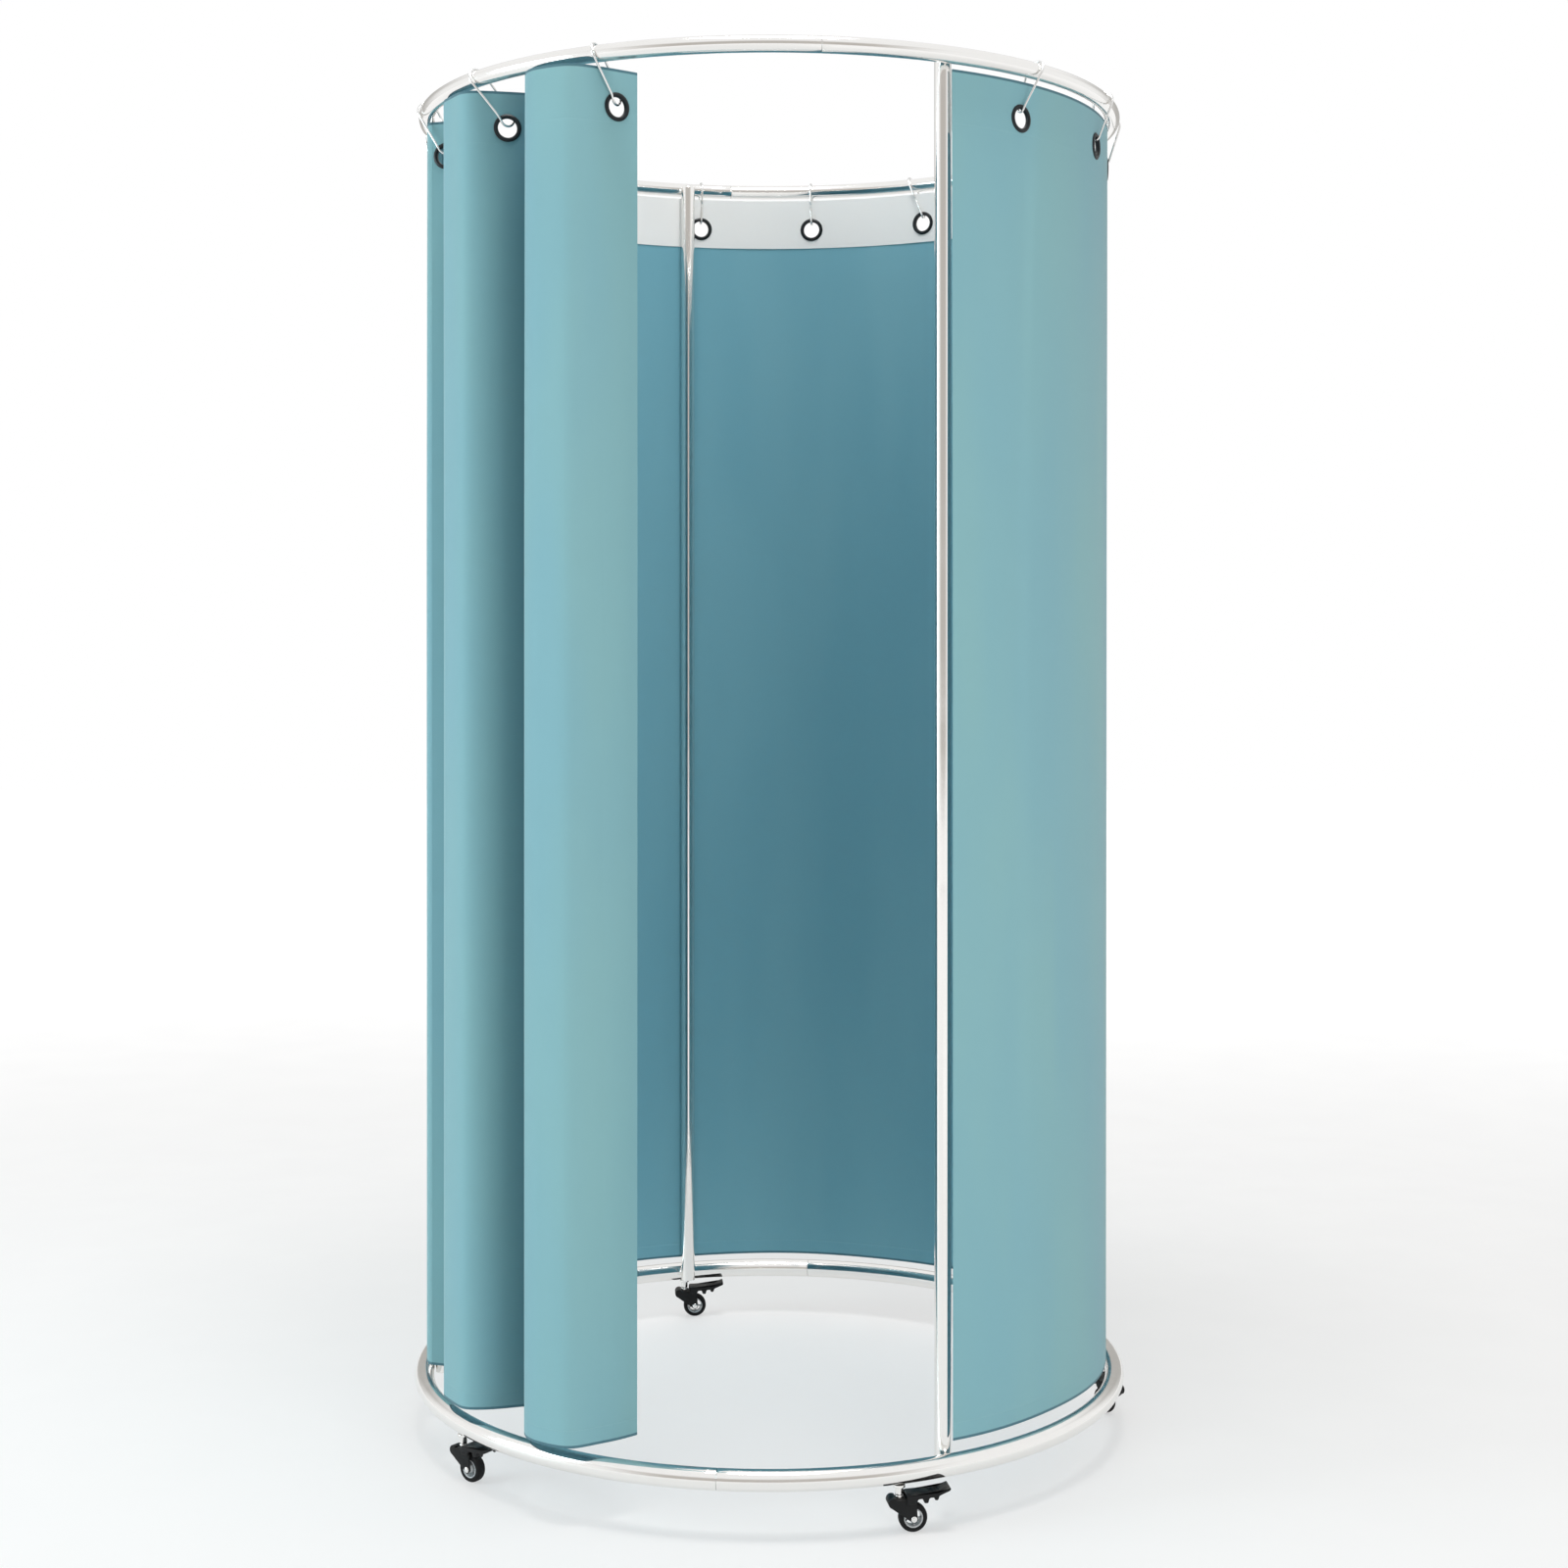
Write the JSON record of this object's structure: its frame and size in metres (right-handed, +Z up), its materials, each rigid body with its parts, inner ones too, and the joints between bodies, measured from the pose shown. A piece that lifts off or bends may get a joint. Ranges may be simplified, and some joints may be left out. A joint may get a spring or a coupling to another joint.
{
  "type": "portable fitting room",
  "caption": "Round free-standing fitting room: tube rings on posts, braked swivel casters, and cloth curtains hung from the top rail on wire hooks, with a doorway at the front.",
  "frame": {"origin": "on the floor, on the axis of the two rings, midway across the whole outline", "axes": "+Z up, the doorway faces -Y, +X to the right seen from the doorway"},
  "size_m": [1.0354, 1.034, 1.9006],
  "materials": {
    "chrome": "polished chrome plate on steel tube",
    "wire": "polished chrome plate on steel wire",
    "cloth": "plain woven cloth, pale grey teal, slightly glossy",
    "header": "white woven heading tape with black eyelets",
    "eyelet": "black moulded eyelet",
    "plastic": "black moulded plastic",
    "rubber": "black tyre on a grey plastic wheel"
  },
  "bodies": {
    "frame": {"base_ring_right": "chrome", "base_ring_left": "chrome", "base_ring_sleeve_front": "chrome", "base_ring_sleeve_back": "chrome", "top_rail_right": "chrome", "top_rail_left": "chrome", "top_rail_sleeve_front": "chrome", "top_rail_sleeve_back": "chrome", "post_front_right": "chrome", "post_back_right": "chrome", "post_back_left": "chrome", "post_front_left": "chrome", "main_hook_1": "wire", "main_hook_2": "wire", "main_hook_3": "wire", "main_hook_4": "wire", "main_hook_5": "wire", "main_hook_6": "wire", "main_hook_7": "wire", "main_hook_8": "wire", "main_hook_9": "wire", "main_hook_10": "wire", "main_hook_11": "wire", "curtain_main": "cloth", "curtain_main_header_with_eyelets": "header", "curtain_door_tail": "cloth", "door_eyelet_1": "eyelet", "door_hook_1": "wire", "caster_front_right_stem": "chrome", "caster_right_stem": "chrome", "caster_back_left_stem": "chrome", "caster_front_left_stem": "chrome"},
    "door_slide_1": {"curtain_door_pleat_1": "cloth", "door_eyelet_2": "eyelet", "door_hook_2": "wire"},
    "door_slide_2": {"curtain_door_pleat_2": "cloth", "door_eyelet_3": "eyelet", "door_hook_3": "wire"},
    "door_slide_3": {"curtain_door_lead": "cloth", "door_eyelet_4": "eyelet", "door_hook_4": "wire"},
    "caster_front_right_swivel": {"caster_front_right_fork": "plastic", "caster_front_right_axle": "chrome"},
    "caster_front_right_wheel": {"caster_front_right_wheel": "rubber"},
    "caster_front_right_brake": {"caster_front_right_brake_pedal": "plastic"},
    "caster_right_swivel": {"caster_right_fork": "plastic", "caster_right_axle": "chrome"},
    "caster_right_wheel": {"caster_right_wheel": "rubber"},
    "caster_right_brake": {"caster_right_brake_pedal": "plastic"},
    "caster_back_left_swivel": {"caster_back_left_fork": "plastic", "caster_back_left_axle": "chrome"},
    "caster_back_left_wheel": {"caster_back_left_wheel": "rubber"},
    "caster_back_left_brake": {"caster_back_left_brake_pedal": "plastic"},
    "caster_front_left_swivel": {"caster_front_left_fork": "plastic", "caster_front_left_axle": "chrome"},
    "caster_front_left_wheel": {"caster_front_left_wheel": "rubber"},
    "caster_front_left_brake": {"caster_front_left_brake_pedal": "plastic"}
  },
  "joints": [
    {"name": "door_slide_1", "type": "hinge", "parent": "frame", "child": "door_slide_1", "pos_m": [0, 0, 1.886], "axis": [0, 0, 1], "range_deg": [0, 15]},
    {"name": "door_slide_2", "type": "hinge", "parent": "door_slide_1", "child": "door_slide_2", "pos_m": [0, 0, 1.886], "axis": [0, 0, 1], "range_deg": [0, 15]},
    {"name": "door_slide_3", "type": "hinge", "parent": "door_slide_2", "child": "door_slide_3", "pos_m": [0, 0, 1.886], "axis": [0, 0, 1], "range_deg": [0, 15]},
    {"name": "caster_front_right_turn", "type": "hinge", "parent": "frame", "child": "caster_front_right_swivel", "pos_m": [0.16507, -0.47401, 0.045], "axis": [0, 0, 1], "continuous": true},
    {"name": "caster_front_right_roll", "type": "hinge", "parent": "caster_front_right_swivel", "child": "caster_front_right_wheel", "pos_m": [0.1824, -0.47158, 0.01834], "axis": [-0.1392, 0.9903, 0], "continuous": true},
    {"name": "caster_front_right_brake", "type": "hinge", "parent": "caster_front_right_swivel", "child": "caster_front_right_brake", "pos_m": [0.17695, -0.47234, 0.041], "axis": [-0.1392, 0.9903, 0], "range_deg": [0, 11]},
    {"name": "caster_right_turn", "type": "hinge", "parent": "frame", "child": "caster_right_swivel", "pos_m": [0.50124, -0.02627, 0.045], "axis": [0, 0, 1], "continuous": true},
    {"name": "caster_right_roll", "type": "hinge", "parent": "caster_right_swivel", "child": "caster_right_wheel", "pos_m": [0.49249, -0.01111, 0.01834], "axis": [-0.866, -0.5, 0], "continuous": true},
    {"name": "caster_right_brake", "type": "hinge", "parent": "caster_right_swivel", "child": "caster_right_brake", "pos_m": [0.49524, -0.01588, 0.041], "axis": [-0.866, -0.5, 0], "range_deg": [0, 11]},
    {"name": "caster_back_left_turn", "type": "hinge", "parent": "frame", "child": "caster_back_left_swivel", "pos_m": [-0.14256, 0.48126, 0.045], "axis": [0, 0, 1], "continuous": true},
    {"name": "caster_back_left_roll", "type": "hinge", "parent": "caster_back_left_swivel", "child": "caster_back_left_wheel", "pos_m": [-0.1251, 0.48248, 0.01834], "axis": [-0.0698, 0.9976, 0], "continuous": true},
    {"name": "caster_back_left_brake", "type": "hinge", "parent": "caster_back_left_swivel", "child": "caster_back_left_brake", "pos_m": [-0.13059, 0.4821, 0.041], "axis": [-0.0698, 0.9976, 0], "range_deg": [0, 11]},
    {"name": "caster_front_left_turn", "type": "hinge", "parent": "frame", "child": "caster_front_left_swivel", "pos_m": [-0.41365, -0.2843, 0.045], "axis": [0, 0, 1], "continuous": true},
    {"name": "caster_front_left_roll", "type": "hinge", "parent": "caster_front_left_swivel", "child": "caster_front_left_wheel", "pos_m": [-0.39986, -0.29507, 0.01834], "axis": [0.6157, 0.788, 0], "continuous": true},
    {"name": "caster_front_left_brake", "type": "hinge", "parent": "caster_front_left_swivel", "child": "caster_front_left_brake", "pos_m": [-0.4042, -0.29168, 0.041], "axis": [0.6157, 0.788, 0], "range_deg": [0, 11]}
  ],
  "couplings": [
    {"joint": "door_slide_2", "follows": "door_slide_1", "ratio": 1},
    {"joint": "door_slide_3", "follows": "door_slide_1", "ratio": 1}
  ]
}
